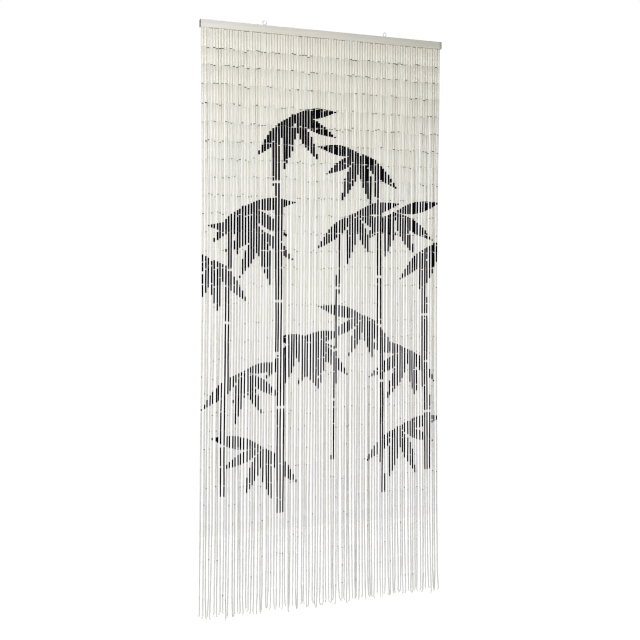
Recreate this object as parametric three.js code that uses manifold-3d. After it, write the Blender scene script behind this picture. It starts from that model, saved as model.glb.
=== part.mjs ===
// Bamboo door curtain: a painted wooden rail with two screw eyes in its top, and ninety hanging strands of bamboo tube.
// Millimetres, +Z up. The front faces -Y, and the origin is the centre of the rail's top face.
import * as THREE from 'three';
import { mergeGeometries, mergeVertices } from 'three/addons/utils/BufferGeometryUtils.js';
import Module from 'manifold-3d';

const wasm = await Module();
wasm.setup();

// Rail: a planed batten with its edges eased
const RAIL_LENGTH = 900;
const RAIL_DEPTH = 20;
const RAIL_HEIGHT = 26;
const RAIL_EASED_EDGE = 0.8;

// Screw eyes: bent wire, screwed into the rail's top at the quarter points
const EYE_WIRE = 2.2;
const EYE_RING_RADIUS = 6.75;
const EYE_SHANK = 15;
const EYE_NECK_TURN = 75;
const EYE_RING_END = 246;
const EYE_ARC_STEPS = 16;
const EYE_NECK_STEPS = 3;
const EYE_SIDES = 8;
const EYE_STEPS = 38;
const EYES = [
  { name: 'screw_eye_left', x: -RAIL_LENGTH / 4, rise: 1.6, turn: 0 },
  { name: 'screw_eye_right', x: RAIL_LENGTH / 4, rise: 1.1, turn: 12 },
];

// Gaps: between pieces, and round each screw eye's shank in its pilot hole
const PIECE_GAP = 0.3;
const HOLE_GAP = 0.36;
const HOLE_SIDES = 12;
const HOLE_DEPTH = EYE_SHANK + 1;
const HOLE_OVERSHOOT = 2;

// Heading strip: holds the tops of the strands under the rail
const STRIP_HEIGHT = 2;
const STRIP_DEPTH = 9.6;
const STRIP_INSET = 3;

// Strands: square in section, as wide as the tubes are thick
const STRAND_COUNT = 90;
const OUTER_STRAND = 442;
const STRAND_PITCH = (2 * OUTER_STRAND) / (STRAND_COUNT - 1);
const STRAND_GAP = 0.35;
const DEPTH_PLAY = 0.6;
const MEAN_DROP = 1995;
const DROP_SPREAD = 9;
const LONG_STRAND_EVERY = 11;
const LONG_STRAND_EXTRA = 9;

// How the strands hang: drop is measured down from the rail's top, tube is the tubes' thickness there, and
// left and right are how far the curtain's two edges have drifted sideways
const HANG = [
  { drop: RAIL_HEIGHT + PIECE_GAP + STRIP_HEIGHT / 2, tube: 8.3, left: 0, right: 0 },
  { drop: 250, tube: 7.6, left: 1.0, right: -1.2 },
  { drop: 400, tube: 7.0, left: 2.2, right: -4.3 },
  { drop: 550, tube: 6.3, left: 3.0, right: -5.6 },
  { drop: 700, tube: 5.7, left: 2.2, right: -7.4 },
  { drop: 950, tube: 4.9, left: 1.0, right: -8.5 },
  { drop: 1200, tube: 4.7, left: -1.9, right: -8.8 },
  { drop: 1450, tube: 4.6, left: -5.5, right: -7.5 },
  { drop: 1700, tube: 4.5, left: -7.5, right: -6.5 },
  { drop: MEAN_DROP, tube: 4.5, left: -12.0, right: -3.0 },
];

const paintedWood = new THREE.MeshStandardMaterial({ color: 0xd5d1c2, roughness: 0.55, metalness: 0 });
const zincSteel = new THREE.MeshStandardMaterial({ color: 0xb9bbbd, roughness: 0.35, metalness: 1 });
const paintedBamboo = new THREE.MeshStandardMaterial({ color: 0xdedacc, roughness: 0.6, metalness: 0 });

// An even spread from -1 to 1 that is the same on each run
function chance(seed) {
  const value = Math.sin(seed * 12.9898 + 4.1414) * 43758.5453;
  return 2 * (value - Math.floor(value)) - 1;
}

function mix(a, b, share) {
  return a + (b - a) * share;
}

// A closed mesh with shared vertices, as a solid that can be cut and joined
function toSolid(geometry) {
  const bare = geometry.clone();
  bare.deleteAttribute('normal');
  bare.deleteAttribute('uv');
  const merged = mergeVertices(bare, 1e-4);
  const mesh = new wasm.Mesh({
    numProp: 3,
    vertProperties: new Float32Array(merged.attributes.position.array),
    triVerts: new Uint32Array(merged.index.array),
  });
  return new wasm.Manifold(mesh);
}

function toGeometry(solid) {
  const mesh = solid.getMesh();
  const geometry = new THREE.BufferGeometry();
  geometry.setAttribute('position', new THREE.BufferAttribute(mesh.vertProperties, 3));
  geometry.setIndex(new THREE.BufferAttribute(mesh.triVerts, 1));
  geometry.computeVertexNormals();
  return geometry;
}

// Section with its four long edges eased, drawn as depth across and height up
function railSection() {
  const y = RAIL_DEPTH / 2;
  const z = RAIL_HEIGHT / 2;
  const e = RAIL_EASED_EDGE;
  const section = new THREE.Shape();
  section.moveTo(-y + e, -z);
  section.lineTo(y - e, -z);
  section.lineTo(y, -z + e);
  section.lineTo(y, z - e);
  section.lineTo(y - e, z);
  section.lineTo(-y + e, z);
  section.lineTo(-y, z - e);
  section.lineTo(-y, -z + e);
  section.closePath();
  return section;
}

function pilotHole(eye) {
  const radius = (EYE_WIRE / 2 + HOLE_GAP) / Math.cos(Math.PI / HOLE_SIDES);
  const height = HOLE_DEPTH + HOLE_OVERSHOOT;
  const hole = new THREE.CylinderGeometry(radius, radius, height, HOLE_SIDES);
  hole.rotateX(Math.PI / 2);
  hole.translate(eye.x, 0, HOLE_OVERSHOOT - height / 2);
  return toSolid(hole);
}

function railGeometry() {
  const batten = new THREE.ExtrudeGeometry(railSection(), { depth: RAIL_LENGTH, bevelEnabled: false });
  batten.translate(0, 0, -RAIL_LENGTH / 2);
  batten.rotateX(Math.PI / 2);
  batten.rotateZ(Math.PI / 2);
  batten.translate(0, 0, -RAIL_HEIGHT / 2);
  const drilled = EYES.reduce((solid, eye) => solid.subtract(pilotHole(eye)), toSolid(batten));
  return toGeometry(drilled);
}

// The wire's line: up the shank, over the neck to one side, and round the ring to just short of the neck.
// The neck's arc and the ring's arc meet where both have turned by the neck's angle.
function eyeLine() {
  const turn = THREE.MathUtils.degToRad(EYE_NECK_TURN);
  const end = THREE.MathUtils.degToRad(EYE_RING_END);
  const ringHeight = EYE_RING_RADIUS + EYE_WIRE / 2;
  const neckRadius = (EYE_RING_RADIUS * Math.cos(turn)) / (1 - Math.cos(turn));
  const neckHeight = ringHeight - (EYE_RING_RADIUS + neckRadius) * Math.sin(turn);
  const points = [-EYE_SHANK, -EYE_SHANK / 2].map((z) => new THREE.Vector3(0, 0, z));
  for (let step = 0; step < EYE_NECK_STEPS; step += 1) {
    const angle = (turn * step) / EYE_NECK_STEPS;
    const x = neckRadius * (1 - Math.cos(angle));
    points.push(new THREE.Vector3(x, 0, neckHeight + neckRadius * Math.sin(angle)));
  }
  for (let step = 0; step <= EYE_ARC_STEPS; step += 1) {
    const angle = mix(-turn, end, step / EYE_ARC_STEPS);
    const x = EYE_RING_RADIUS * Math.cos(angle);
    points.push(new THREE.Vector3(x, 0, ringHeight + EYE_RING_RADIUS * Math.sin(angle)));
  }
  return new THREE.CatmullRomCurve3(points, false, 'centripetal');
}

function eyeGeometry() {
  const wire = new THREE.Shape();
  wire.absarc(0, 0, EYE_WIRE / 2, 0, 2 * Math.PI);
  return new THREE.ExtrudeGeometry(wire, {
    extrudePath: eyeLine(),
    steps: EYE_STEPS,
    curveSegments: EYE_SIDES / 2,
    bevelEnabled: false,
  });
}

// Where strand i hangs at a row of the hang table, and how thick it is there
function strandAt(i, row) {
  const across = i / (STRAND_COUNT - 1);
  const down = row.drop / MEAN_DROP;
  const play = (STRAND_PITCH - row.tube) / 2 - STRAND_GAP;
  const lean = mix(chance(i), chance(i + STRAND_COUNT), down);
  const root = mix(-OUTER_STRAND, OUTER_STRAND, across);
  return {
    x: root + mix(row.left, row.right, across) + play * lean,
    y: play * DEPTH_PLAY * chance(i + 2 * STRAND_COUNT) * down,
    half: row.tube / 2,
  };
}

function strandDrop(i) {
  const extra = i % LONG_STRAND_EVERY === LONG_STRAND_EVERY - 2 ? LONG_STRAND_EXTRA : 0;
  return MEAN_DROP + DROP_SPREAD * chance(i + 3 * STRAND_COUNT) + extra;
}

// One strand: a box with a row of corners for each row of the hang table
function strandGeometry(i) {
  const last = HANG.length - 1;
  const strand = new THREE.BoxGeometry(1, 1, 1, 1, 1, last);
  const corners = strand.attributes.position;
  for (let c = 0; c < corners.count; c += 1) {
    const index = Math.round((0.5 - corners.getZ(c)) * last);
    const row = HANG[index];
    const at = strandAt(i, row);
    const drop = index === last ? strandDrop(i) : row.drop;
    const x = at.x + 2 * at.half * corners.getX(c);
    const y = at.y + 2 * at.half * corners.getY(c);
    corners.setXYZ(c, x, y, -drop);
  }
  return strand;
}

// All the strands hang apart, and only their tops are joined to the strip
function strandsGeometry() {
  const strands = [];
  for (let i = 0; i < STRAND_COUNT; i += 1) strands.push(strandGeometry(i));
  const strip = new THREE.BoxGeometry(RAIL_LENGTH - 2 * STRIP_INSET, STRIP_DEPTH, STRIP_HEIGHT);
  strip.translate(0, 0, -RAIL_HEIGHT - PIECE_GAP - STRIP_HEIGHT / 2);
  return toGeometry(toSolid(mergeGeometries(strands)).add(toSolid(strip)));
}

function piece(name, geometry, material) {
  const mesh = new THREE.Mesh(geometry, material);
  mesh.name = name;
  return mesh;
}

const curtain = new THREE.Group();
curtain.add(piece('rail', railGeometry(), paintedWood));
for (const eye of EYES) {
  const mesh = piece(eye.name, eyeGeometry(), zincSteel);
  mesh.position.set(eye.x, 0, eye.rise);
  mesh.rotation.z = THREE.MathUtils.degToRad(eye.turn);
  curtain.add(mesh);
}
curtain.add(piece('bamboo_strands', strandsGeometry(), paintedBamboo));

export default curtain;
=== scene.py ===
import math
import random

import bmesh
import bpy
import numpy as np
from mathutils import Matrix, Vector


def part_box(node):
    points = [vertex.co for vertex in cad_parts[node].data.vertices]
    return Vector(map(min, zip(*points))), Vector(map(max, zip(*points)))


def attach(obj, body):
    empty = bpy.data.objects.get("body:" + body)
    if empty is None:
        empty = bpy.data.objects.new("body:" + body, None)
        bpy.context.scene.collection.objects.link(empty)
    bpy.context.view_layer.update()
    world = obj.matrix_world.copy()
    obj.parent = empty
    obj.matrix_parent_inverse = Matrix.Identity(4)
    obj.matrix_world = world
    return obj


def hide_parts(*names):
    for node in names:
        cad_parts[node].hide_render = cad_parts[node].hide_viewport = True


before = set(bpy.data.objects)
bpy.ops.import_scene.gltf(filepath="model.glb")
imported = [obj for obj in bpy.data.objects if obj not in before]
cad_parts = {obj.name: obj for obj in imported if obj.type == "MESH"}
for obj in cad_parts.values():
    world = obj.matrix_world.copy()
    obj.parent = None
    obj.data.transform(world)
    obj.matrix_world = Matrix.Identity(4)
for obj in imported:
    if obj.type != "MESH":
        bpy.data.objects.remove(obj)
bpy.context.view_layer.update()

bl_info = {
    "name": "Bamboo door curtain",
    "version": (1, 0, 0),
    "blender": (4, 5, 0),
    "location": "3D View > Sidebar > Curtain",
    "description": "Builds a bamboo door curtain: painted rail, screw eyes, strands of tube and their wire",
    "category": "Add Mesh",
}

MM = 0.001
STRAND_NODE = "bamboo_strands"
RAIL_NODE = "rail"
EYE_NODES = ("screw_eye_left", "screw_eye_right")
EYE_TURNS = (0.0, math.radians(12))
RAIL_LOW, RAIL_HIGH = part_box(RAIL_NODE)


# Properties

def srgb(code):
    """An sRGB hex colour as the linear colour that a shader reads."""
    parts = [int(code[k:k + 2], 16) / 255 for k in (1, 3, 5)]
    linear = [p / 12.92 if p <= 0.04045 else ((p + 0.055) / 1.055) ** 2.4 for p in parts]
    return (*linear, 1.0)


def length(name, description, value):
    """A length property, with its default in millimetres."""
    return bpy.props.FloatProperty(
        name=name, description=description, default=value * MM, min=0.0, unit="LENGTH"
    )


def share(name, description, value):
    return bpy.props.FloatProperty(
        name=name, description=description, default=value, min=0.0, subtype="FACTOR"
    )


def turn(name, description, degrees):
    return bpy.props.FloatProperty(
        name=name, description=description, default=math.radians(degrees), unit="ROTATION", subtype="ANGLE"
    )


def count(name, description, value):
    return bpy.props.IntProperty(name=name, description=description, default=value, min=1)


def colour(name, description, code):
    return bpy.props.FloatVectorProperty(
        name=name, description=description, default=srgb(code), size=4, min=0.0, max=1.0, subtype="COLOR"
    )


class CurtainSizes(bpy.types.PropertyGroup):
    tubes: count("Tubes", "Tubes on each strand", 32)
    sides: count("Sides", "Faces round each tube", 10)
    gap: length("Gap", "Smallest opening between one tube and the next", 0.06)
    gap_spread: length("Gap spread", "How much wider the widest openings are, at worn joints", 1.5)
    rail_gap: length("Rail gap", "Widest opening between the rail and the first tubes", 3.0)
    row_spread: share("Row spread", "How far a row's tube length strays from the mean, of that mean", 0.03)
    length_spread: length("Length spread", "How far one tube's length strays from its row's", 1.2)
    row_wave: length("Row wave", "How far a row of joints rises and falls across the curtain", 1.0)
    row_scatter: length("Row scatter", "How far one joint strays from its row's height", 2.4)
    fullness: share("Fullness", "The tubes' thickness, of the thickness of the strands in the frame", 1.14)
    width_spread: share("Width spread", "How far a tube's thickness strays from its strand's", 0.05)
    bore: share("Bore", "Width of the hole through a tube, of its thickness", 0.5)
    edge: length("Cut edge", "Height of the eased edge at each end of a neatly cut tube", 0.15)
    worn_edge: length("Worn edge", "Height of that edge at a worn joint", 1.2)
    # A worn joint's dark ends are dirt and painted shade in the joint
    worn: share("Worn", "Share of the joints that are worn and dirty, at the top", 0.4)
    foot_worn: share("Foot worn", "That share at the curtain's foot", 0.1)
    wander: length("Wander", "How far a joint strays off its strand's line", 0.35)
    drift: length("Drift", "How far a strand's lower end drifts off its line in the frame", 2.1)
    bow: length("Bow", "How far a tube's middle bends off its axis", 0.25)
    last_swing: length("Last swing", "How far the last tube's end swings off the strand's line", 2.6)
    wire: length("Wire", "Thickness of the wire that links the tubes", 0.6)
    loop: length("Loop", "Radius of a wire loop's bend", 0.65)
    leg: length("Leg", "How far a wire loop reaches into the tube", 3.0)
    curl: length("Curl", "Radius of the wire's curl under the last tube", 2.6)
    curl_wire: length("Curl wire", "Thickness of the twisted wire in that curl", 2.3)


class RailSizes(bpy.types.PropertyGroup):
    edge: length("Eased edge", "Radius of the rail's sanded long edges", 2.2)
    edge_steps: count("Edge steps", "Faces across each eased edge", 4)
    end_edge: length("End edge", "Radius of the edges round the rail's sawn ends", 0.6)
    eye_wire: length("Eye wire", "Thickness of the screw eyes' wire", 2.2)
    eye_ring: length("Eye ring", "Radius of the screw eyes' ring", 6.75)
    eye_shank: length("Eye shank", "Length of wire screwed into the rail", 14.0)
    neck_turn: turn("Neck turn", "How far the wire turns from the shank to the ring", 75)
    ring_end: turn("Ring end", "Where the ring's free end stops, past its right-hand side", 246)


class MotifSizes(bpy.types.PropertyGroup):
    leaf_length: length("Leaf length", "Length of a painted leaf", 182)
    leaf_width: length("Leaf width", "Width of a painted leaf", 40)
    section: length("Section", "Painted length between a cane's joints", 185)
    cane_joint: length("Cane joint", "Bare length between a cane's painted sections", 9)
    twig: length("Twig", "Length of a twig between the cane and its leaves", 75)
    twig_width: length("Twig width", "Thickness of a painted twig", 8)


class CurtainColours(bpy.types.PropertyGroup):
    cream: colour("Cream", "Thin cream paint on the tubes", "#DFDCD0")
    warm: colour("Warm cream", "The warmest tubes", "#DED9CD")
    green: colour("Green cream", "The greenest tubes", "#DCDBD0")
    grey: colour("Grey cream", "The greyest tubes", "#DCDCDD")
    ink: colour("Ink", "Dark paint of the leaves", "#0A090A")
    ink_worn: colour("Worn ink", "Dark paint where the brush left it thin", "#171413")
    brown: colour("Brown", "Dark brown paint of the canes", "#1C1310")
    brown_worn: colour("Worn brown", "Brown paint where the brush left it thin", "#33251E")
    cut: colour("Cut edge", "Bare bamboo at the tubes' ends", "#B9B19F")
    # Painted shade as well as dirt: the darkest cut ends stand in for the shadow in the joints
    cut_dirt_and_shade: colour("Dark cut edge", "Tubes' ends with dirt and glue in the fibres", "#2A251E")
    rail: colour("Rail", "Cream paint on the rail", "#D0CDC3")
    # Painted light: the rail's colour is paler and cooler at the left-hand end and warmer towards the
    # right-hand end
    rail_cool_lit: colour("Pale rail", "Rail paint at the left-hand end, which is the palest", "#D1CFCA")
    rail_warm_lit: colour("Warm rail", "Rail paint towards the right-hand end, which is the warmest", "#CECBBE")
    # Grey for the last few millimetres of the rail's right-hand end
    greyed: colour("Greyed paint", "Rail paint where the right-hand end is soiled", "#A3A3A6")
    # Painted shade as well as end grain: the sawn ends' colours are darker than soaked paint alone, for ends
    # in shade
    end_grain_and_shade: colour("End grain", "Thin paint soaked into the rail's sawn ends", "#74726B")
    end_grain_rings_and_shade: colour("Dark end grain", "Hard rings in the rail's sawn ends", "#605E58")
    steel: colour("Steel", "Zinc-plated wire", "#D0D1D4")
    floor: colour("Floor", "Pale studio floor", "#F4F4F2")


# Materials

TONE = "tube_tone"
NOISE_DETAIL = 3.0
NOISE_RANGE = (0.3, 0.7)


def add(tree, kind, inputs=None, **settings):
    """Adds one node: settings are its own properties, inputs are constants or the sockets that feed it."""
    made = tree.nodes.new(kind)
    for name, value in settings.items():
        setattr(made, name, value)
    for name, value in (inputs or {}).items():
        if isinstance(value, bpy.types.NodeSocket):
            tree.links.new(value, made.inputs[name])
        else:
            made.inputs[name].default_value = value
    return made


def new_material(name, roughness, metallic=0.0):
    """A material with its shader, and Object coordinates to place patterns by."""
    material = bpy.data.materials.new(name)
    material.use_nodes = True
    tree = material.node_tree
    tree.nodes.clear()
    shader = add(tree, "ShaderNodeBsdfPrincipled", {"Roughness": roughness, "Metallic": metallic})
    add(tree, "ShaderNodeOutputMaterial", {"Surface": shader.outputs["BSDF"]})
    place = add(tree, "ShaderNodeTexCoord").outputs["Object"]
    return material, tree, shader, place


def blend_colours(tree, amount, stops):
    """A colour that follows amount through the stops, given as pairs of position and colour."""
    ramp = add(tree, "ShaderNodeValToRGB", {"Fac": amount})
    marks = ramp.color_ramp.elements
    for mark, (position, shade) in zip(marks, (stops[0], stops[-1])):
        mark.position = position
        mark.color = shade
    for position, shade in stops[1:-1]:
        marks.new(position).color = shade
    return ramp.outputs["Color"]


def specks(tree, place, size):
    """Even noise whose marks are size metres across."""
    return add(tree, "ShaderNodeTexNoise", {
        "Vector": place, "Scale": 1 / size, "Detail": NOISE_DETAIL,
    }).outputs["Fac"]


def fibres_along(tree, place, width, reach, detail=NOISE_DETAIL, distortion=0.0):
    """Noise drawn out along z: each mark is width metres across and reach metres long."""
    stretched = add(tree, "ShaderNodeMapping", {"Vector": place, "Scale": (1 / width, 1 / width, 1 / reach)})
    return add(tree, "ShaderNodeTexNoise", {
        "Vector": stretched.outputs["Vector"], "Scale": 1.0, "Detail": detail, "Distortion": distortion,
    }).outputs["Fac"]


def remap(tree, noise, low, high):
    """Noise, which mostly stays in its narrow usual range, spread from low to high."""
    usual_low, usual_high = NOISE_RANGE
    return add(tree, "ShaderNodeMapRange", {
        "Value": noise, "From Min": usual_low, "From Max": usual_high, "To Min": low, "To Max": high,
    }).outputs["Result"]


def raise_by(tree, shader, height, depth, strength):
    """Bump from a height pattern, with depth in metres."""
    bump = add(tree, "ShaderNodeBump", {"Height": height, "Strength": strength, "Distance": depth})
    tree.links.new(bump.outputs["Normal"], shader.inputs["Normal"])


def tube_tone(tree):
    """The tube's own numbers: X places its tint, Y is its brightness and Z how dark its ends are, for dirt
    and for painted shade in the joints.
    """
    tone = add(tree, "ShaderNodeAttribute", attribute_name=TONE).outputs["Vector"]
    return add(tree, "ShaderNodeSeparateXYZ", {"Vector": tone}).outputs


def limewashed_bamboo(colours):
    """Thin cream paint brushed on bamboo: the stalk's lengthwise fibres show through as faint streaks, in
    patches of thicker and thinner paint. Each tube has taken it a little differently, and the skin keeps a
    soft sheen."""
    material, tree, shader, place = new_material("limewashed_bamboo", roughness=0.34)
    tone = tube_tone(tree)
    tint = blend_colours(tree, tone["X"], (
        (0.0, colours.warm), (0.2, colours.cream), (0.4, colours.green), (0.6, colours.cream),
        (1.0, colours.grey),
    ))
    fibres = fibres_along(tree, place, width=0.45 * MM, reach=24 * MM)
    streaks = remap(tree, fibres, low=0.91, high=1.04)
    patches = remap(tree, fibres_along(tree, place, width=4 * MM, reach=15 * MM), low=0.975, high=1.02)
    uneven = add(tree, "ShaderNodeMath", {0: streaks, 1: patches}, operation="MULTIPLY").outputs["Value"]
    level = add(tree, "ShaderNodeMath", {0: uneven, 1: tone["Y"]}, operation="MULTIPLY").outputs["Value"]
    shade = add(tree, "ShaderNodeVectorMath", {0: tint, "Scale": level}, operation="SCALE").outputs["Vector"]
    tree.links.new(shade, shader.inputs["Base Color"])
    raise_by(tree, shader, fibres, depth=0.12 * MM, strength=0.35)
    return material


def brushed_paint(name, dense, worn):
    """Dark paint brushed over the cream: dense and nearly black, and a little browner where the brush left
    it thin, with the same fibres under it. It is chalky, with no sheen, so it stays black in soft light."""
    material, tree, shader, place = new_material(name, roughness=0.8)
    shader.inputs["Specular IOR Level"].default_value = 0.0
    fibres = fibres_along(tree, place, width=0.6 * MM, reach=18 * MM)
    shade = blend_colours(tree, fibres, ((0.5, dense), (0.8, worn)))
    tree.links.new(shade, shader.inputs["Base Color"])
    raise_by(tree, shader, fibres, depth=0.1 * MM, strength=0.3)
    return material


def sawn_bamboo(colours):
    """Bare fibre ends where the tubes are cut, with no sheen. Dirt and glue, and painted shade for the shadow
    in the joint, darken some far more than others, so some joints read as dark dots and others hardly show."""
    material, tree, shader, place = new_material("sawn_bamboo", roughness=0.85)
    uneven = remap(tree, specks(tree, place, size=4 * MM), low=-0.5, high=0.3)
    dirt_and_shade = tube_tone(tree)["Z"]
    amount = add(tree, "ShaderNodeMath", {0: dirt_and_shade, 1: uneven}, operation="ADD").outputs["Value"]
    shade = blend_colours(tree, amount, ((0.0, colours.cut), (0.9, colours.cut_dirt_and_shade)))
    tree.links.new(shade, shader.inputs["Base Color"])
    return material


def painted_softwood(colours):
    """Cream paint on planed softwood: broad faint grain and fine brush marks run along the rail under a
    satin film. Its colour holds painted light: paler and cooler at the left-hand end, where the light is
    coolest, and warmer towards the right-hand end. The last few millimetres at the right-hand end turn grey.
    The colours' places are shares of the rail's length."""
    material, tree, shader, place = new_material("painted_softwood", roughness=0.5)
    along = add(tree, "ShaderNodeMapping", {
        "Vector": place, "Rotation": (0, math.pi / 2, 0),
    }).outputs["Vector"]
    x = add(tree, "ShaderNodeSeparateXYZ", {"Vector": place}).outputs["X"]
    across = add(tree, "ShaderNodeMapRange", {
        "Value": x, "From Min": RAIL_LOW.x, "From Max": RAIL_HIGH.x,
    }).outputs["Result"]
    # The pale, cool colour at the left and the warm colour towards the right are painted light
    paint = blend_colours(tree, across, (
        (0.03, colours.rail_cool_lit), (0.2, colours.rail), (0.6, colours.rail), (0.85, colours.rail_warm_lit),
        # The last few millimetres at the right-hand end turn grey
        (0.99, colours.rail_warm_lit), (0.9933, colours.greyed),
    ))
    grain = fibres_along(tree, along, width=3 * MM, reach=120 * MM, detail=5.0, distortion=0.6)
    figure = remap(tree, grain, low=1.0, high=0.9)
    shade = add(tree, "ShaderNodeVectorMath", {
        0: paint, "Scale": figure,
    }, operation="SCALE").outputs["Vector"]
    tree.links.new(shade, shader.inputs["Base Color"])
    brush_marks = fibres_along(tree, along, width=0.5 * MM, reach=40 * MM)
    raise_by(tree, shader, brush_marks, depth=0.1 * MM, strength=0.25)
    return material


def soaked_and_shaded_end_grain(colours):
    """Sawn end of the rail: the paint soaked into the open grain, so it is dull and darker than the face,
    and its colour is darker still as painted shade, for an end turned away from the light.
    """
    material, tree, shader, place = new_material("soaked_and_shaded_end_grain", roughness=0.9)
    rings = specks(tree, place, size=2.4 * MM)
    shade = blend_colours(tree, rings, ((0.35, colours.end_grain_and_shade), (0.65, colours.end_grain_rings_and_shade)))
    tree.links.new(shade, shader.inputs["Base Color"])
    return material


def zinc_plated_wire(colours):
    """Drawn steel wire with bright zinc plating: a metal with a slightly cloudy shine."""
    material, tree, shader, place = new_material("zinc_plated_wire", roughness=0.45, metallic=1.0)
    cloud = remap(tree, specks(tree, place, size=1.6 * MM), low=0.38, high=0.52)
    tree.links.new(cloud, shader.inputs["Roughness"])
    shader.inputs["Base Color"].default_value = colours.steel
    return material


def painted_wire(colours):
    """The wire's end under each strand, coated when the tubes were painted: thick cream paint that has run,
    so it is smooth and softly shiny, with a faint cloud of thinner paint."""
    material, tree, shader, place = new_material("painted_wire", roughness=0.45)
    cloud = specks(tree, place, size=2 * MM)
    shade = blend_colours(tree, cloud, ((0.35, colours.grey), (0.7, colours.cream)))
    tree.links.new(shade, shader.inputs["Base Color"])
    return material


# Mesh helpers

def mesh_of(bm, name):
    """The bmesh as a mesh, with the bmesh freed."""
    mesh = bpy.data.meshes.new(name)
    bm.to_mesh(mesh)
    bm.free()
    return mesh


def finish_piece(bm, name, materials, node):
    """Makes the mesh an object at the origin, which rides on the curtain and stands for the CAD node."""
    mesh = mesh_of(bm, name)
    for material in materials:
        mesh.materials.append(material)
    piece = bpy.data.objects.new(name, mesh)
    bpy.context.scene.collection.objects.link(piece)
    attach(piece, "root")
    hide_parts(node)


def smooth_below(bm, degrees):
    """Smooth shading, with the edges that turn more than this kept sharp."""
    limit = math.radians(degrees)
    for face in bm.faces:
        face.smooth = True
    for edge in bm.edges:
        edge.smooth = edge.calc_face_angle(0.0) < limit


def verts_in(geometry):
    return [g for g in geometry if isinstance(g, bmesh.types.BMVert)]


def edges_in(geometry):
    return [g for g in geometry if isinstance(g, bmesh.types.BMEdge)]


def add_copy(bm, template, matrix):
    """Adds a copy of the template, placed by the matrix, and returns its vertices and faces."""
    first_vert, first_face = len(bm.verts), len(bm.faces)
    bm.from_mesh(template)
    bm.verts.ensure_lookup_table()
    bm.faces.ensure_lookup_table()
    verts = bm.verts[first_vert:]
    bmesh.ops.transform(bm, matrix=matrix, verts=verts)
    return verts, bm.faces[first_face:]


# Strand lines, read from the frame

SECTION_CORNERS = 4
STRIP_CORNERS = 2
SHARED_CORNERS = 300
LOWER_ENDS_BELOW = 1.0


class Strand:
    """Centre line and thickness of one strand, by height. Heights are held as drops, which grow along the
    strand."""

    def __init__(self, rows):
        """Each row holds the corners of the strand's section at one height."""
        corners = np.array(rows) * MM
        self.drops = -corners[:, :, 2].mean(axis=1)
        self.xs = corners[:, :, 0].mean(axis=1)
        self.ys = corners[:, :, 1].mean(axis=1)
        self.widths = np.ptp(corners[:, :, 0], axis=1)
        self.bottom = -float(self.drops[-1])

    def at(self, height):
        x = np.interp(-height, self.drops, self.xs)
        y = np.interp(-height, self.drops, self.ys)
        return Vector((float(x), float(y), height))

    def width(self, height):
        return float(np.interp(-height, self.drops, self.widths))


def read_strands():
    """The strands' lines, from the corners of the frame's strands, in millimetres. Each strand has a section
    at every height that all strands share, which has very many corners, and one at its own lower end, below
    all those. The heading strip adds its corners at both ends of the top row."""
    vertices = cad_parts[STRAND_NODE].data.vertices
    corners = {tuple(round(c / MM, 2) for c in v.co) for v in vertices}
    heights = {}
    for corner in corners:
        heights.setdefault(round(corner[2], 1), []).append(corner)
    strip_top = max(heights)
    shared = [z for z, row in heights.items() if len(row) >= SHARED_CORNERS and z < strip_top]
    rows = [sorted(heights[z]) for z in sorted(shared, reverse=True)]
    rows[0] = rows[0][STRIP_CORNERS:-STRIP_CORNERS]
    rows.append(sorted(c for c in corners if c[2] < min(shared) - LOWER_ENDS_BELOW))
    firsts = range(0, len(rows[0]), SECTION_CORNERS)
    return [Strand([row[k:k + SECTION_CORNERS] for row in rows]) for k in firsts]


STRANDS = read_strands()
PITCH = (STRANDS[-1].xs[0] - STRANDS[0].xs[0]) / (len(STRANDS) - 1)


# Joints between the tubes

STRAND_SEED = 40
FIRST_ROWS = (66 * MM, 58 * MM, 62 * MM, 66 * MM)
WAVE_STRANDS = (9, 17)
ODD_TUBES = 0.1
ODD_LENGTH = 5 * MM
# How dark a worn and a neat joint's ends are, for dirt and for painted shade in the joint
WORN_DIRT_AND_SHADE = (0.4, 1.0)
NEAT_DIRT_AND_SHADE = (0.0, 0.2)
# The higher the power, the rarer the wide gaps
GAP_POWER = 2
RAIL_GAP_POWER = 4
# The drops at which a strand's drift turns, and the share of its drift that it has at the top
DRIFT_DROPS = np.linspace(0, 2.0, 7)
TOP_DRIFT = 0.25
SETTLE_ROUNDS = 12


def blend(top, foot, height):
    """A value that goes from its top to its foot with the height on the curtain."""
    return top + (foot - top) * height / STRANDS[0].bottom


class Joint:
    """Where two tubes meet. The gap is how far they stand apart, and how dark their ends are stands for dirt
    and for painted shade in the joint. The tube is the thickness of the one below, and the breadth that of
    the thicker one. A worn joint is open, and its ends are dark with dirt and painted shade."""

    def __init__(self, place, worn, tube, breadth, sizes):
        self.place = place
        self.worn = worn
        self.gap = sizes.gap + (sizes.gap_spread if worn else sizes.gap) * random.random() ** GAP_POWER
        self.dirt_and_shade = random.uniform(*(WORN_DIRT_AND_SHADE if worn else NEAT_DIRT_AND_SHADE))
        self.tube = tube
        self.breadth = breadth


class JointRow:
    """One row of joints across the curtain: the usual length of the tubes over it, and how the row waves."""

    def __init__(self, tube_length):
        self.tube_length = tube_length
        self.strands_per_wave = random.uniform(*WAVE_STRANDS)
        self.phase = random.uniform(0, 2 * math.pi)

    def wave(self, i):
        return math.sin(2 * math.pi * i / self.strands_per_wave + self.phase)


def joint_rows(sizes):
    """All rows of joints. The first few tubes have the lengths measured on the real curtain."""
    mean = (RAIL_LOW.z - min(strand.bottom for strand in STRANDS)) / sizes.tubes
    lengths = [mean * (1 + random.uniform(-1, 1) * sizes.row_spread) for _ in range(sizes.tubes)]
    lengths[:len(FIRST_ROWS)] = FIRST_ROWS
    return [JointRow(tube_length) for tube_length in lengths]


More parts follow.
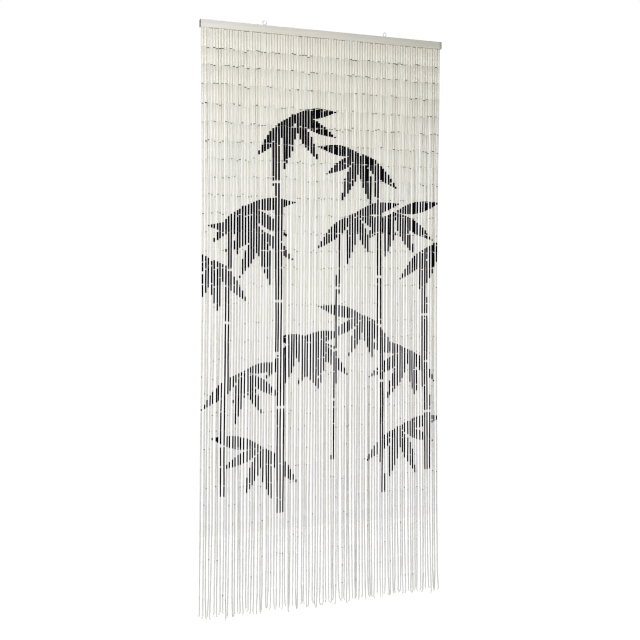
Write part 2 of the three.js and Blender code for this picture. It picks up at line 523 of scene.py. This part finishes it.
def tube_lengths(strand, rows, sizes):
    """Lengths of one strand's tubes, which add up to the strand's own length."""
    lengths = []
    for row in rows:
        odd = random.uniform(-ODD_LENGTH, ODD_LENGTH) if random.random() < ODD_TUBES else 0.0
        lengths.append(row.tube_length + random.uniform(-1, 1) * sizes.length_spread + odd)
    fixed = len(FIRST_ROWS)
    spare = (RAIL_LOW.z - strand.bottom - sum(lengths)) / (len(lengths) - fixed)
    return lengths[:fixed] + [tube_length + spare for tube_length in lengths[fixed:]]


def tube_widths(strand, heights, sizes):
    """Thickness of each of one strand's tubes, whose ends are at the heights."""
    widths = []
    for top, foot in zip(heights, heights[1:]):
        width = strand.width((top + foot) / 2) * sizes.fullness
        widths.append(width * (1 + random.uniform(-1, 1) * sizes.width_spread))
    return widths


def joints_of(i, strand, rows, sizes):
    """Joints of one strand from the rail down. The strand drifts slowly off its line, and each joint strays a
    little. The two outermost strands hardly drift, because they are the curtain's outline."""
    heights = [RAIL_LOW.z]
    for tube_length in tube_lengths(strand, rows, sizes):
        heights.append(heights[-1] - tube_length)
    for k, row in enumerate(rows[:-1], 1):
        heights[k] += sizes.row_wave * row.wave(i) + random.uniform(-1, 1) * sizes.row_scatter
    widths = tube_widths(strand, heights, sizes)
    drift = sizes.wander if strand in (STRANDS[0], STRANDS[-1]) else sizes.drift
    reach = drift * (TOP_DRIFT + (1 - TOP_DRIFT) * DRIFT_DROPS / DRIFT_DROPS[-1])
    drift_x, drift_y = ([random.uniform(-1, 1) * r for r in reach] for _ in range(2))
    joints = []
    for k, height in enumerate(heights):
        above, below = widths[max(0, k - 1)], widths[min(k, len(widths) - 1)]
        stray = sizes.last_swing if k == len(rows) else sizes.wander
        place = strand.at(height)
        place.x += np.interp(-height, DRIFT_DROPS, drift_x) + random.uniform(-stray, stray)
        place.y += np.interp(-height, DRIFT_DROPS, drift_y) + random.uniform(-stray, stray)
        worn = random.random() < blend(sizes.worn, sizes.foot_worn, height)
        joints.append(Joint(place, worn, below, max(above, below), sizes))
    # The opening under the rail is half the first joint's gap, because no tube ends above it
    joints[0].gap = 2 * sizes.rail_gap * random.random() ** RAIL_GAP_POWER
    return joints


def settle(row):
    """Pushes neighbours in one row of joints apart until their tubes only touch."""
    for _ in range(SETTLE_ROUNDS):
        for left, right in zip(row, row[1:]):
            apart = (right.place - left.place).xy
            overlap = (left.breadth + right.breadth) / 2 - apart.length
            if overlap > 0:
                push = apart.normalized() * overlap / 2
                left.place.xy -= push
                right.place.xy += push


def all_joints(sizes):
    """Joints of all strands, the same for the tubes and for the wire."""
    random.seed(STRAND_SEED)
    rows = joint_rows(sizes)
    joints = [joints_of(i, strand, rows, sizes) for i, strand in enumerate(STRANDS)]
    for row in zip(*joints):
        settle(row)
    return joints


# Painted design: bamboo canes with sprays of hanging leaves

# The inks are also the numbers of their material slots
LEAF, CANE = 1, 2
DESIGN_SEED = 21
# Lean is in degrees, side is the first spray's, and bare counts the sections below that spray
CANES = (
    {"x": -0.372, "foot": -1.600, "top": -0.740, "lean": 1.5, "width": 19 * MM, "side": 1, "bare": 2},
    {"x": -0.160, "foot": -1.670, "top": -0.460, "lean": -1.0, "width": 29 * MM, "side": -1, "bare": 1},
    {"x": 0.030, "foot": -1.500, "top": -0.700, "lean": 1.8, "width": 12 * MM, "side": -1, "bare": 2},
    {"x": 0.225, "foot": -1.630, "top": -0.540, "lean": -1.2, "width": 19 * MM, "side": 1, "bare": 1},
    {"x": 0.405, "foot": -1.560, "top": -0.860, "lean": -1.6, "width": 29 * MM, "side": -1, "bare": 2},
)
SECTION_GROWTH = (0.85, 1.15)
SECTIONS_PER_SPRAY = 2
TWIG_RISE = (20, 40)
TWIG_GROWTH = (0.8, 1.1)
LEAF_TURNS = (-136, -100, -64, -28, 8)
LEAF_JITTER = 5
LEAF_GROWTH = (0.85, 1.12)
# A leaf's outline: the first, under 1, puts its widest place nearer the stalk, and the second, over 1, draws
# its ends finer
LEAF_BELLY = 0.9
LEAF_TAPER = 1.2
# Painted lengths are found in steps down the strand, and runs of fewer steps than this are left out
RUN_STEP = 1 * MM
SHORTEST_RUN = 4


class Stroke:
    """One brush stroke on the curtain, from a start in a direction. A leaf swells and narrows, and a cane is
    even."""

    def __init__(self, ink, x, height, angle, reach, width):
        self.ink = ink
        self.x = x
        self.height = height
        self.angle = angle
        self.reach = reach
        self.width = width

    def end(self):
        return self.x + self.reach * math.cos(self.angle), self.height + self.reach * math.sin(self.angle)

    def covers(self, x, heights):
        """Which of the heights on the strand at x lie under the stroke."""
        across, up = x - self.x, heights - self.height
        along = (across * math.cos(self.angle) + up * math.sin(self.angle)) / self.reach
        aside = np.abs(up * math.cos(self.angle) - across * math.sin(self.angle))
        swell = 1.0
        if self.ink == LEAF:
            swell = np.sin(np.pi * np.clip(along, 0, 1) ** LEAF_BELLY) ** LEAF_TAPER
        return (along >= 0) & (along <= 1) & (aside <= self.width / 2 * swell)


def spray(sizes, x, height, side):
    """A twig that leaves a cane's joint upwards, with a fan of leaves hanging from its tip."""
    rise = math.radians(random.uniform(*TWIG_RISE))
    reach = sizes.twig * random.uniform(*TWIG_GROWTH)
    twig = Stroke(CANE, x, height, rise if side > 0 else math.pi - rise, reach, sizes.twig_width)
    strokes = [twig]
    for degrees in LEAF_TURNS:
        droop = math.radians(degrees + random.uniform(-LEAF_JITTER, LEAF_JITTER))
        size = random.uniform(*LEAF_GROWTH)
        angle = droop if side > 0 else math.pi - droop
        strokes.append(Stroke(LEAF, *twig.end(), angle, sizes.leaf_length * size, sizes.leaf_width * size))
    return strokes


def cane_strokes(sizes, cane):
    """A cane's painted sections from the foot up, with a spray on alternate sides at every second joint."""
    angle = math.radians(90 - cane["lean"])
    x, height, side, bare = cane["x"], cane["foot"], cane["side"], cane["bare"]
    strokes = []
    while height < cane["top"]:
        reach = sizes.section * random.uniform(*SECTION_GROWTH)
        section = Stroke(CANE, x, height, angle, reach, cane["width"])
        strokes.append(section)
        x, height = section.end()
        x += sizes.cane_joint * math.cos(angle)
        height += sizes.cane_joint * math.sin(angle)
        bare -= 1
        if bare == 0 or height >= cane["top"]:
            strokes += spray(sizes, x, height, side)
            side = -side
            bare = SECTIONS_PER_SPRAY
    return strokes


def design_strokes(sizes):
    """All strokes of the design. The leaves come last, over the canes."""
    random.seed(DESIGN_SEED)
    strokes = [stroke for cane in CANES for stroke in cane_strokes(sizes, cane)]
    return sorted(strokes, key=lambda stroke: -stroke.ink)


def painted_runs(x, strokes, top, bottom):
    """Painted lengths of the strand at x, from the top down, as highest point, lowest point and ink."""
    heights = np.arange(top, bottom, -RUN_STEP)
    inks = np.zeros(len(heights), int)
    for stroke in strokes:
        if abs(x - stroke.x) <= stroke.reach + stroke.width:
            inks[stroke.covers(x, heights)] = stroke.ink
    bounds = [0, *(np.flatnonzero(np.diff(inks)) + 1), len(inks)]
    return [
        (top - a * RUN_STEP, top - b * RUN_STEP, int(inks[a]))
        for a, b in zip(bounds, bounds[1:]) if inks[a] and b - a >= SHORTEST_RUN
    ]


# Tubes

PANELS = 6
CREAM_FACE, CUT_FACE = 0, 3
MEAN_WIDTH = 6 * MM
MEAN_LENGTH = 62 * MM
# How far an eased edge draws in, of its height
DRAW_IN = 0.4
# How far a face's normal points up or down: less than the first on a tube's wall, more than the second on its
# cut ends, and between them on its eased edges
WALL_SLOPE = 0.2
END_SLOPE = 0.9
# The tint, how far it strays and how much paleness counts, each at the curtain's top and at its foot
TINT = (0.3, 1.0)
TINT_SPREAD = (0.3, 0.15)
PALENESS = (0.03, 0.07)
BRIGHTNESS = (0.97, 1.02)


def tube_template(sizes, worn_foot, worn_head):
    """One tube of unit height and thickness, open through its bore, with an eased edge at both ends, which is
    taller at a worn end. The wall's section is spun round the axis, and only its outer face is painted."""
    bore = sizes.bore / 2
    foot, head = (sizes.worn_edge if worn else sizes.edge for worn in (worn_foot, worn_head))
    section = (
        (bore, 0), (0.5 - DRAW_IN * foot / MEAN_WIDTH, 0), (0.5, foot / MEAN_LENGTH), (0.5, 0.5),
        (0.5, 1 - head / MEAN_LENGTH), (0.5 - DRAW_IN * head / MEAN_WIDTH, 1), (bore, 1),
    )
    bm = bmesh.new()
    corners = [bm.verts.new((x, 0, z)) for x, z in section]
    edges = [bm.edges.new(pair) for pair in zip(corners, corners[1:] + corners[:1])]
    bmesh.ops.spin(
        bm, geom=corners + edges, cent=(0, 0, 0), axis=(0, 0, 1), dvec=(0, 0, 0),
        angle=2 * math.pi, steps=sizes.sides, use_merge=True,
    )
    bmesh.ops.recalc_face_normals(bm, faces=bm.faces)
    for face in bm.faces:
        outside = face.calc_center_median().xy.length > bore
        wall = abs(face.normal.z) < WALL_SLOPE
        face.material_index = CREAM_FACE if outside and wall else CUT_FACE
    return mesh_of(bm, "tube_template")


def add_tube(bm, templates, high, low, sizes, tone_layer, paleness):
    """Adds the tube between two joints, turned along the strand, with a slight bow and a tone of its own.
    Lower tubes are greyer, and each end is as dark as its joint. Paleness, from -1 to 1, is the whole
    strand's, and counts for more on lower tubes."""
    axis = (high.place - low.place).normalized()
    head = high.place - axis * high.gap / 2
    foot = low.place + axis * low.gap / 2
    middle = (head + foot) / 2
    turned = axis.to_track_quat("Z", "Y").to_matrix().to_4x4()
    spun = Matrix.Rotation(random.uniform(0, 2 * math.pi), 4, "Z")
    scaled = Matrix.Diagonal((high.tube, high.tube, (head - foot).length, 1))
    template = templates[low.worn, high.worn]
    verts, faces = add_copy(bm, template, Matrix.Translation(foot) @ turned @ scaled @ spun)
    near_middle = (head - foot).length / 4
    bow = Vector((random.uniform(-1, 1), random.uniform(-1, 1), 0)) * sizes.bow
    for vert in verts:
        if abs(vert.co.z - middle.z) < near_middle:
            vert.co += bow
    tint = blend(*TINT, middle.z) + random.uniform(-1, 1) * blend(*TINT_SPREAD, middle.z)
    brightness = random.uniform(*BRIGHTNESS) * (1 + paleness * blend(*PALENESS, middle.z))
    for face in faces:
        end = high if face.calc_center_median().z > middle.z else low
        face[tone_layer] = Vector((tint, brightness, end.dirt_and_shade))


def paint_tubes(bm, runs):
    """Cuts the tubes at the ends of each painted run, and gives the run its ink. The brush misses the eased
    edges, which are cream there."""
    for top, bottom, ink in runs:
        for height in (top, bottom):
            bmesh.ops.bisect_plane(
                bm, geom=bm.verts[:] + bm.edges[:] + bm.faces[:], dist=0.001 * MM,
                plane_co=(0, 0, height), plane_no=(0, 0, 1),
            )
    bm.normal_update()
    for face in bm.faces:
        height = face.calc_center_median().z
        ink = next((ink for top, bottom, ink in runs if bottom < height < top), 0)
        slope = abs(face.normal.z)
        if ink and slope < WALL_SLOPE and face.material_index == CREAM_FACE:
            face.material_index = ink
        elif ink and WALL_SLOPE < slope < END_SLOPE:
            face.material_index = CREAM_FACE


class CURTAIN_OT_tubes(bpy.types.Operator):
    """Build the strands of bamboo tube, with the design painted on them"""
    bl_idname = "door_curtain.tubes"
    bl_label = "Bamboo tubes"

    def execute(self, context):
        sizes = context.scene.curtain_sizes
        colours = context.scene.curtain_colours
        materials = [
            limewashed_bamboo(colours),
            brushed_paint("brushed_black_paint", colours.ink, colours.ink_worn),
            brushed_paint("brushed_brown_paint", colours.brown, colours.brown_worn),
            sawn_bamboo(colours),
        ]
        strokes = design_strokes(context.scene.motif_sizes)
        joints = all_joints(sizes)
        kinds = [(worn_foot, worn_head) for worn_foot in (False, True) for worn_head in (False, True)]
        templates = {kind: tube_template(sizes, *kind) for kind in kinds}
        each = math.ceil(len(STRANDS) / PANELS)
        for panel in range(PANELS):
            whole = bmesh.new()
            for i in range(panel * each, min(len(STRANDS), (panel + 1) * each)):
                part = self.strand_mesh(i, joints[i], sizes, templates, strokes)
                whole.from_mesh(part)
                bpy.data.meshes.remove(part)
            smooth_below(whole, degrees=42)
            finish_piece(whole, f"tube_panel_{panel + 1}", materials, STRAND_NODE)
        for template in templates.values():
            bpy.data.meshes.remove(template)
        return {"FINISHED"}

    def strand_mesh(self, i, joints, sizes, templates, strokes):
        bm = bmesh.new()
        tone_layer = bm.faces.layers.float_vector.new(TONE)
        paleness = random.uniform(-1, 1)
        for high, low in zip(joints, joints[1:]):
            add_tube(bm, templates, high, low, sizes, tone_layer, paleness)
        root = STRANDS[0].xs[0] + i * PITCH
        paint_tubes(bm, painted_runs(root, strokes, joints[0].place.z, joints[-1].place.z))
        return mesh_of(bm, f"strand_{i + 1}")


# Wire

LINK_PIECES = 3
PAINTED_FACE = 1
LOOP_SIDES = 4
LOOP_STEPS = 4
CURL_SIDES = 6
CURL_STEPS = 10
CURL_TURN = math.radians(285)


def wire_ring(bm, sides, wire, bend):
    """A small ring of edges, the wire's section, set at the bend's radius and ready to be spun round the y
    axis."""
    verts = bmesh.ops.create_circle(bm, cap_ends=False, segments=sides, radius=wire / 2)["verts"]
    bmesh.ops.translate(bm, verts=verts, vec=(bend, 0, 0))
    return verts, list(bm.edges)


def spin_wire(bm, ring, centre, angle, steps):
    """Spins the wire's ring round an axis that faces the front, and returns the ring at the far end."""
    return bmesh.ops.spin(
        bm, geom=ring, cent=centre, axis=(0, -1, 0), dvec=(0, 0, 0), angle=angle, steps=steps,
    )["geom_last"]


def draw_up(bm, edges, reach):
    """Draws the ring of edges straight up by reach and closes its end."""
    verts = verts_in(bmesh.ops.extrude_edge_only(bm, edges=edges)["geom"])
    bmesh.ops.translate(bm, verts=verts, vec=(0, 0, reach))
    bmesh.ops.contextual_create(bm, geom=verts)


def loop_template(sizes):
    """One wire loop that hangs from a tube: two legs joined by a half-ring, whose inside rests at the
    origin."""
    bm = bmesh.new()
    verts, start = wire_ring(bm, LOOP_SIDES, sizes.wire, sizes.loop)
    far = spin_wire(bm, verts + start, (0, 0, 0), -math.pi, LOOP_STEPS)
    draw_up(bm, start, sizes.leg)
    draw_up(bm, edges_in(far), sizes.leg)
    bmesh.ops.recalc_face_normals(bm, faces=bm.faces)
    smooth_below(bm, degrees=100)
    bmesh.ops.translate(bm, verts=bm.verts, vec=(0, 0, sizes.loop - sizes.wire / 2))
    return mesh_of(bm, "loop_template")


def curl_template(sizes):
    """The wire's end under the last tube: a straight leg out of the bore, then most of a ring."""
    bm = bmesh.new()
    verts, start = wire_ring(bm, CURL_SIDES, sizes.curl_wire, sizes.curl)
    far = spin_wire(bm, verts + start, (0, 0, 0), -CURL_TURN, CURL_STEPS)
    bmesh.ops.contextual_create(bm, geom=verts_in(far))
    draw_up(bm, start, sizes.curl + sizes.leg)
    bmesh.ops.recalc_face_normals(bm, faces=bm.faces)
    smooth_below(bm, degrees=60)
    bmesh.ops.translate(bm, verts=bm.verts, vec=(-sizes.curl, 0, -sizes.curl - sizes.curl_wire))
    return mesh_of(bm, "curl_template")


class CURTAIN_OT_links(bpy.types.Operator):
    """Build the wire loops that join the tubes, hang them from the rail and end each strand in a curl"""
    bl_idname = "door_curtain.links"
    bl_label = "Wire links"

    def execute(self, context):
        sizes = context.scene.curtain_sizes
        colours = context.scene.curtain_colours
        materials = [zinc_plated_wire(colours), painted_wire(colours)]
        joints = all_joints(sizes)
        loop, curl = loop_template(sizes), curl_template(sizes)
        each = math.ceil(len(STRANDS) / LINK_PIECES)
        for piece in range(LINK_PIECES):
            whole = bmesh.new()
            for strand in joints[piece * each:(piece + 1) * each]:
                part = self.strand_mesh(strand, loop, curl)
                whole.from_mesh(part)
                bpy.data.meshes.remove(part)
            finish_piece(whole, f"wire_links_{piece + 1}", materials, STRAND_NODE)
        bpy.data.meshes.remove(loop)
        bpy.data.meshes.remove(curl)
        return {"FINISHED"}

    def strand_mesh(self, joints, loop, curl):
        """Two linked loops at each joint, a quarter turn apart, and a curl at the end."""
        bm = bmesh.new()
        upside_down = Matrix.Rotation(math.pi, 4, "X")
        for joint in joints[:-1]:
            place = Matrix.Translation(joint.place)
            aim = random.uniform(0, math.pi)
            add_copy(bm, loop, place @ Matrix.Rotation(aim, 4, "Z"))
            add_copy(bm, loop, place @ Matrix.Rotation(aim + math.pi / 2, 4, "Z") @ upside_down)
        aim = Matrix.Rotation(random.uniform(0, 2 * math.pi), 4, "Z")
        _, faces = add_copy(bm, curl, Matrix.Translation(joints[-1].place) @ aim)
        for face in faces:
            face.material_index = PAINTED_FACE
        return mesh_of(bm, "links")


# Rail and screw eyes

PAINT_FACE, END_GRAIN_FACE = 0, 1
END_EDGE_STEPS = 2
EYE_SIDES = 14
RING_STEPS = 44
NECK_STEPS = 8
# The shank's straight part and its point: each one's share of the length, and how thick it ends, of the wire
SHANK_PARTS = ((0.8, 1.0), (0.2, 0.25))


class CURTAIN_OT_rail(bpy.types.Operator):
    """Build the painted wooden rail"""
    bl_idname = "door_curtain.rail"
    bl_label = "Rail"

    def execute(self, context):
        sizes = context.scene.rail_sizes
        colours = context.scene.curtain_colours
        size = RAIL_HIGH - RAIL_LOW
        bm = bmesh.new()
        bmesh.ops.create_cube(bm, size=1.0)
        bmesh.ops.scale(bm, vec=size, verts=bm.verts)
        bmesh.ops.translate(bm, vec=(RAIL_HIGH + RAIL_LOW) / 2, verts=bm.verts)
        long_edges = [edge for edge in bm.edges if edge.calc_length() > size.x / 2]
        self.ease(bm, long_edges, sizes.edge, sizes.edge_steps)
        end_edges = [edge for edge in bm.edges if abs(edge.verts[0].co.x - edge.verts[1].co.x) < MM]
        self.ease(bm, end_edges, sizes.end_edge, END_EDGE_STEPS)
        for face in bm.faces:
            sawn = abs(face.normal.x) > 0.99
            face.material_index = END_GRAIN_FACE if sawn else PAINT_FACE
        bmesh.ops.recalc_face_normals(bm, faces=bm.faces)
        smooth_below(bm, degrees=40)
        materials = [painted_softwood(colours), soaked_and_shaded_end_grain(colours)]
        finish_piece(bm, "rail_batten", materials, RAIL_NODE)
        return {"FINISHED"}

    def ease(self, bm, edges, radius, steps):
        """Rounds the edges off, as sandpaper does."""
        bmesh.ops.bevel(
            bm, geom=edges, offset=radius, segments=steps, profile=0.5, affect="EDGES", material=-1,
        )


class CURTAIN_OT_screw_eyes(bpy.types.Operator):
    """Build the two screw eyes in the rail's top"""
    bl_idname = "door_curtain.screw_eyes"
    bl_label = "Screw eyes"

    def execute(self, context):
        sizes = context.scene.rail_sizes
        wire = zinc_plated_wire(context.scene.curtain_colours)
        for node, eye_turn in zip(EYE_NODES, EYE_TURNS):
            low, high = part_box(node)
            bm = self.eye(sizes)
            foot = Vector(((low.x + high.x) / 2, 0, high.z - 2 * sizes.eye_ring - sizes.eye_wire))
            matrix = Matrix.Translation(foot) @ Matrix.Rotation(eye_turn, 4, "Z")
            bmesh.ops.transform(bm, matrix=matrix, verts=bm.verts)
            finish_piece(bm, f"{node}_wire", [wire], node)
        return {"FINISHED"}

    def eye(self, sizes):
        """One eye, its ring's underside at the origin: the wire's section is spun round the ring and, the
        other way, over the neck, then drawn down the shank to a point. The two bends meet where both have
        turned alike."""
        ring, neck_turn = sizes.eye_ring, sizes.neck_turn
        neck = ring * math.cos(neck_turn) / (1 - math.cos(neck_turn))
        centre = Vector((0, 0, ring + sizes.eye_wire / 2))
        neck_centre = Vector((neck, 0, centre.z - (ring + neck) * math.sin(neck_turn)))
        bm = bmesh.new()
        verts, start = wire_ring(bm, EYE_SIDES, sizes.eye_wire, ring)
        bmesh.ops.translate(bm, verts=verts, vec=centre)
        bmesh.ops.rotate(bm, verts=verts, cent=centre, matrix=Matrix.Rotation(neck_turn, 3, "Y"))
        far = spin_wire(bm, verts + start, centre, neck_turn + sizes.ring_end, RING_STEPS)
        bmesh.ops.contextual_create(bm, geom=verts_in(far))
        edges = edges_in(spin_wire(bm, verts + start, neck_centre, neck_turn, NECK_STEPS))
        for part, narrow in SHANK_PARTS:
            drawn = bmesh.ops.extrude_edge_only(bm, edges=edges)["geom"]
            verts = verts_in(drawn)
            edges = [e for e in edges_in(drawn) if e.verts[0] in verts and e.verts[1] in verts]
            bmesh.ops.translate(bm, verts=verts, vec=(0, 0, -sizes.eye_shank * part))
            bmesh.ops.scale(bm, verts=verts, vec=(narrow, narrow, 1))
        bmesh.ops.contextual_create(bm, geom=verts)
        bmesh.ops.remove_doubles(bm, verts=bm.verts, dist=0.01 * MM)
        bmesh.ops.recalc_face_normals(bm, faces=bm.faces)
        smooth_below(bm, degrees=50)
        return bm


# Stage

# The camera, fitted to the rail's corners and the strands' ends in the photograph
PHOTO_SIDE = 640
FOCAL_PIXELS = 953.3
HORIZON_PIXEL = 278.3
SENSOR_MM = 36.0
CAMERA_PLACE = (-1.195, -3.120, -0.865)
CAMERA_YAW = math.radians(20.6)
# Width of the pixel filter in pixels: the photograph is a little crisper than the usual 1.5 gives
PIXEL_FILTER = 1.2
FLOOR_HEIGHT = -2.09
FLOOR_HALF = 1.3
FLOOR_GLOW = 0.77
# Strength of the surroundings straight below and straight above
LIGHT_BELOW = 1.25
LIGHT_ABOVE = 0.1
# Each light is a square of that side in metres, with its power in watts and its spread in degrees
LIGHTS = (
    {"name": "key_light", "at": (-0.85, -2.0, 0.15), "to": (-0.1, 0.0, -0.4),
     "side": 0.9, "power": 17.6, "spread": 180},
    {"name": "side_light", "at": (-1.7, -1.8, -0.5), "to": (0.0, 0.0, -0.2),
     "side": 0.9, "power": 6.8, "spread": 120},
    {"name": "back_light", "at": (0.6, 3.2, -0.2), "to": (0.0, 0.0, -1.0),
     "side": 2.2, "power": 13.0, "spread": 180},
    {"name": "top_light", "at": (0.0, 0.4, 1.3), "to": (0.0, 0.0, 0.0),
     "side": 0.5, "power": 9.0, "spread": 120},
)


class CURTAIN_OT_stage(bpy.types.Operator):
    """Build the floor, the lights, the white surroundings and the camera"""
    bl_idname = "door_curtain.stage"
    bl_label = "Stage"

    def execute(self, context):
        scene = context.scene
        self.floor(scene)
        for row in LIGHTS:
            self.light(scene, row)
        self.surroundings(scene)
        self.camera(scene)
        scene.view_settings.view_transform = "Standard"
        scene.cycles.filter_width = PIXEL_FILTER
        return {"FINISHED"}

    def floor(self, scene):
        """A matt white sheet, lit through from below as in a product studio, so it is as pale as the
        surroundings."""
        bm = bmesh.new()
        bmesh.ops.create_grid(bm, x_segments=1, y_segments=1, size=FLOOR_HALF)
        bmesh.ops.translate(bm, verts=bm.verts, vec=(0, 0, FLOOR_HEIGHT))
        material, _, shader, _ = new_material("matt_studio_sheet", roughness=0.9)
        shader.inputs["Base Color"].default_value = scene.curtain_colours.floor
        shader.inputs["Emission Color"].default_value = scene.curtain_colours.floor
        shader.inputs["Emission Strength"].default_value = FLOOR_GLOW
        mesh = mesh_of(bm, "studio_floor")
        mesh.materials.append(material)
        floor = bpy.data.objects.new("studio_floor", mesh)
        scene.collection.objects.link(floor)

    def light(self, scene, row):
        lamp = bpy.data.lights.new(row["name"], "AREA")
        lamp.shape = "SQUARE"
        lamp.size = row["side"]
        lamp.energy = row["power"]
        lamp.spread = math.radians(row["spread"])
        light = bpy.data.objects.new(row["name"], lamp)
        light.location = row["at"]
        aim = Vector(row["to"]) - Vector(row["at"])
        light.rotation_euler = aim.to_track_quat("-Z", "Y").to_euler()
        scene.collection.objects.link(light)

    def surroundings(self, scene):
        """White all round for the eye. The light that reaches the curtain is a softer grey, and mostly from
        below."""
        world = bpy.data.worlds.new("white_studio")
        world.use_nodes = True
        tree = world.node_tree
        tree.nodes.clear()
        direction = add(tree, "ShaderNodeTexCoord").outputs["Generated"]
        upward = add(tree, "ShaderNodeSeparateXYZ", {"Vector": direction}).outputs["Z"]
        strength = add(tree, "ShaderNodeMapRange", {
            "Value": upward, "From Min": -1.0, "From Max": 1.0, "To Min": LIGHT_BELOW, "To Max": LIGHT_ABOVE,
        }).outputs["Result"]
        soft = add(tree, "ShaderNodeBackground", {"Strength": strength}).outputs["Background"]
        seen = add(tree, "ShaderNodeBackground", {"Color": (1, 1, 1, 1)}).outputs["Background"]
        path = add(tree, "ShaderNodeLightPath").outputs["Is Camera Ray"]
        mixed = add(tree, "ShaderNodeMixShader", {0: path, 1: soft, 2: seen}).outputs["Shader"]
        add(tree, "ShaderNodeOutputWorld", {"Surface": mixed})
        scene.world = world

    def camera(self, scene):
        """The photograph's viewpoint: level, a little under half way up, and left of the curtain."""
        lens = bpy.data.cameras.new("camera")
        lens.sensor_width = SENSOR_MM
        lens.lens = FOCAL_PIXELS / PHOTO_SIDE * SENSOR_MM
        lens.shift_y = (HORIZON_PIXEL - PHOTO_SIDE / 2) / PHOTO_SIDE
        camera = bpy.data.objects.new("camera", lens)
        camera.location = CAMERA_PLACE
        camera.rotation_euler = (math.pi / 2, 0, -CAMERA_YAW)
        scene.collection.objects.link(camera)
        scene.camera = camera


# Add-on

GROUPS = {
    "curtain_sizes": CurtainSizes,
    "rail_sizes": RailSizes,
    "motif_sizes": MotifSizes,
    "curtain_colours": CurtainColours,
}
OPERATORS = (
    CURTAIN_OT_stage,
    CURTAIN_OT_rail,
    CURTAIN_OT_screw_eyes,
    CURTAIN_OT_tubes,
    CURTAIN_OT_links,
)


class CURTAIN_PT_panel(bpy.types.Panel):
    """Sizes, colours and the pieces of the curtain"""
    bl_idname = "CURTAIN_PT_panel"
    bl_label = "Bamboo door curtain"
    bl_space_type = "VIEW_3D"
    bl_region_type = "UI"
    bl_category = "Curtain"

    def draw(self, context):
        for operator in OPERATORS:
            self.layout.operator(operator.bl_idname)
        for name, group in GROUPS.items():
            box = self.layout.box()
            for setting in group.__annotations__:
                box.prop(getattr(context.scene, name), setting)


def register():
    for made in (*GROUPS.values(), *OPERATORS, CURTAIN_PT_panel):
        bpy.utils.register_class(made)
    for name, group in GROUPS.items():
        setattr(bpy.types.Scene, name, bpy.props.PointerProperty(type=group))


def unregister():
    for name in GROUPS:
        delattr(bpy.types.Scene, name)
    for made in (CURTAIN_PT_panel, *reversed(OPERATORS), *GROUPS.values()):
        bpy.utils.unregister_class(made)


def main():
    register()
    bpy.ops.door_curtain.stage()
    bpy.ops.door_curtain.rail()
    bpy.ops.door_curtain.screw_eyes()
    bpy.ops.door_curtain.tubes()
    bpy.ops.door_curtain.links()


if __name__ == "__main__":
    main()
